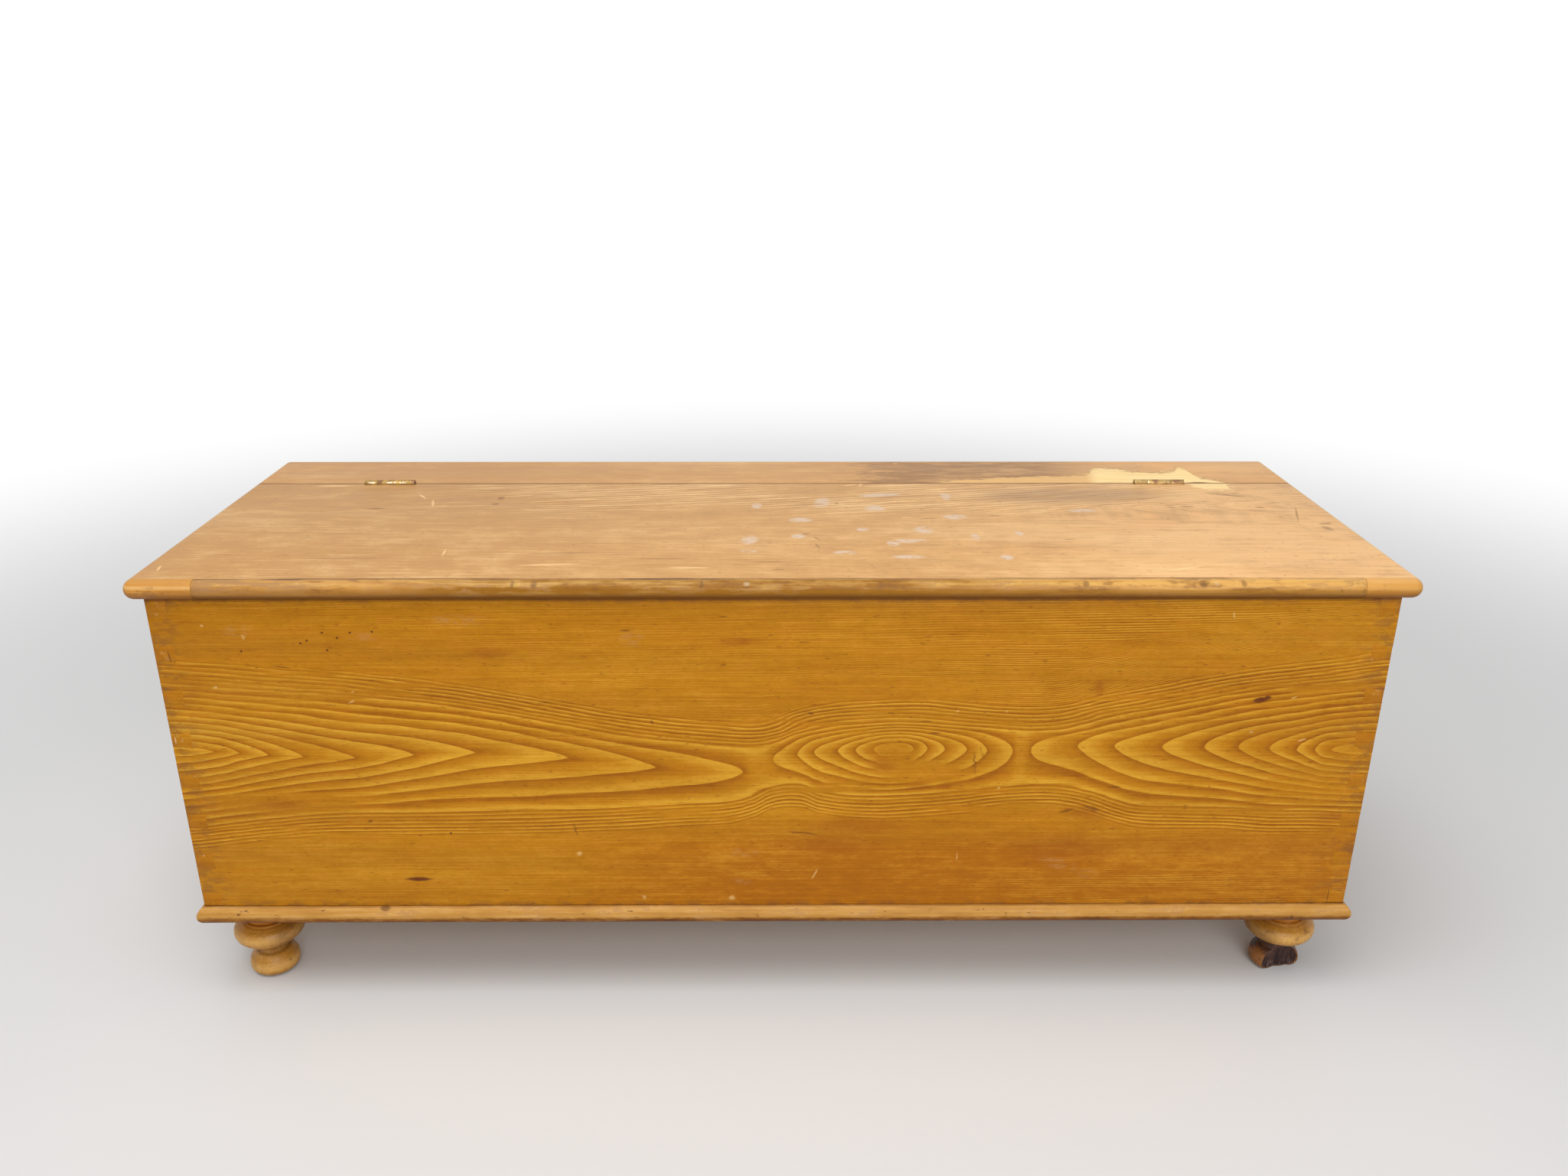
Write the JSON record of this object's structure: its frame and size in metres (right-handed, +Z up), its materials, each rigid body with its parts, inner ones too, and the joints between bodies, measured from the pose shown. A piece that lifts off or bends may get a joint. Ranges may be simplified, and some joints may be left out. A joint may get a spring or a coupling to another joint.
{
  "type": "blanket chest",
  "caption": "Dovetailed pine blanket chest on turned feet, with a hinged bull-nosed lid, a fixed rear rail and a half-round base moulding.",
  "frame": {"origin": "on the floor below the middle of the closed chest", "axes": "+X to the chest's right end seen from the front, +Y to the back, +Z up"},
  "size_m": [1.335, 0.4606, 0.5208],
  "materials": {
    "front_pine": "varnished pitch pine, golden orange, satin",
    "end_pine": "varnished pine, golden orange, satin",
    "secondary_pine": "bare old pine, brushed with thin varnish",
    "bare_pine": "bare sawn pine, darkened with age",
    "moulding_pine": "varnished pine, lighter yellow tan, satin",
    "turned_pine": "turned and varnished pine, satin",
    "wedge_wood": "bare hardwood",
    "top_pine": "worn varnish over pine, dull",
    "nosing_pine": "worn varnish over pine, dull",
    "hinge_brass": "tarnished, worn bright on the barrel",
    "pin_steel": "dull steel",
    "old_iron": "dark wrought iron"
  },
  "bodies": {
    "case": {"front_board": "front_pine", "back_board": "secondary_pine", "left_end_board": "end_pine", "right_end_board": "end_pine", "bottom_board_front": "bare_pine", "bottom_board_middle": "bare_pine", "bottom_board_rear": "bare_pine", "base_moulding_front": "moulding_pine", "base_moulding_left": "moulding_pine", "base_moulding_right": "moulding_pine", "foot_front_left": "turned_pine", "foot_front_right": "turned_pine", "foot_rear_left": "turned_pine", "foot_rear_right": "turned_pine", "foot_tenon_wedges": "wedge_wood", "top_rear_rail": "top_pine", "rail_nails": "old_iron", "bottom_nails": "old_iron", "moulding_brads": "old_iron", "rail_hinge_leaf_left": "hinge_brass", "rail_hinge_leaf_right": "hinge_brass", "hinge_pin_left": "pin_steel", "hinge_pin_right": "pin_steel", "rail_hinge_screws": "old_iron"},
    "lid": {"lid_board": "top_pine", "lid_front_nosing": "nosing_pine", "lid_hinge_leaf_left": "hinge_brass", "lid_hinge_leaf_right": "hinge_brass", "lid_hinge_screws": "old_iron"}
  },
  "joints": [
    {"name": "lid_hinge", "type": "hinge", "parent": "case", "child": "lid", "pos_m": [0, 0.12575, 0.5163], "axis": [-1, 0, 0], "range_deg": [0, 180]}
  ]
}
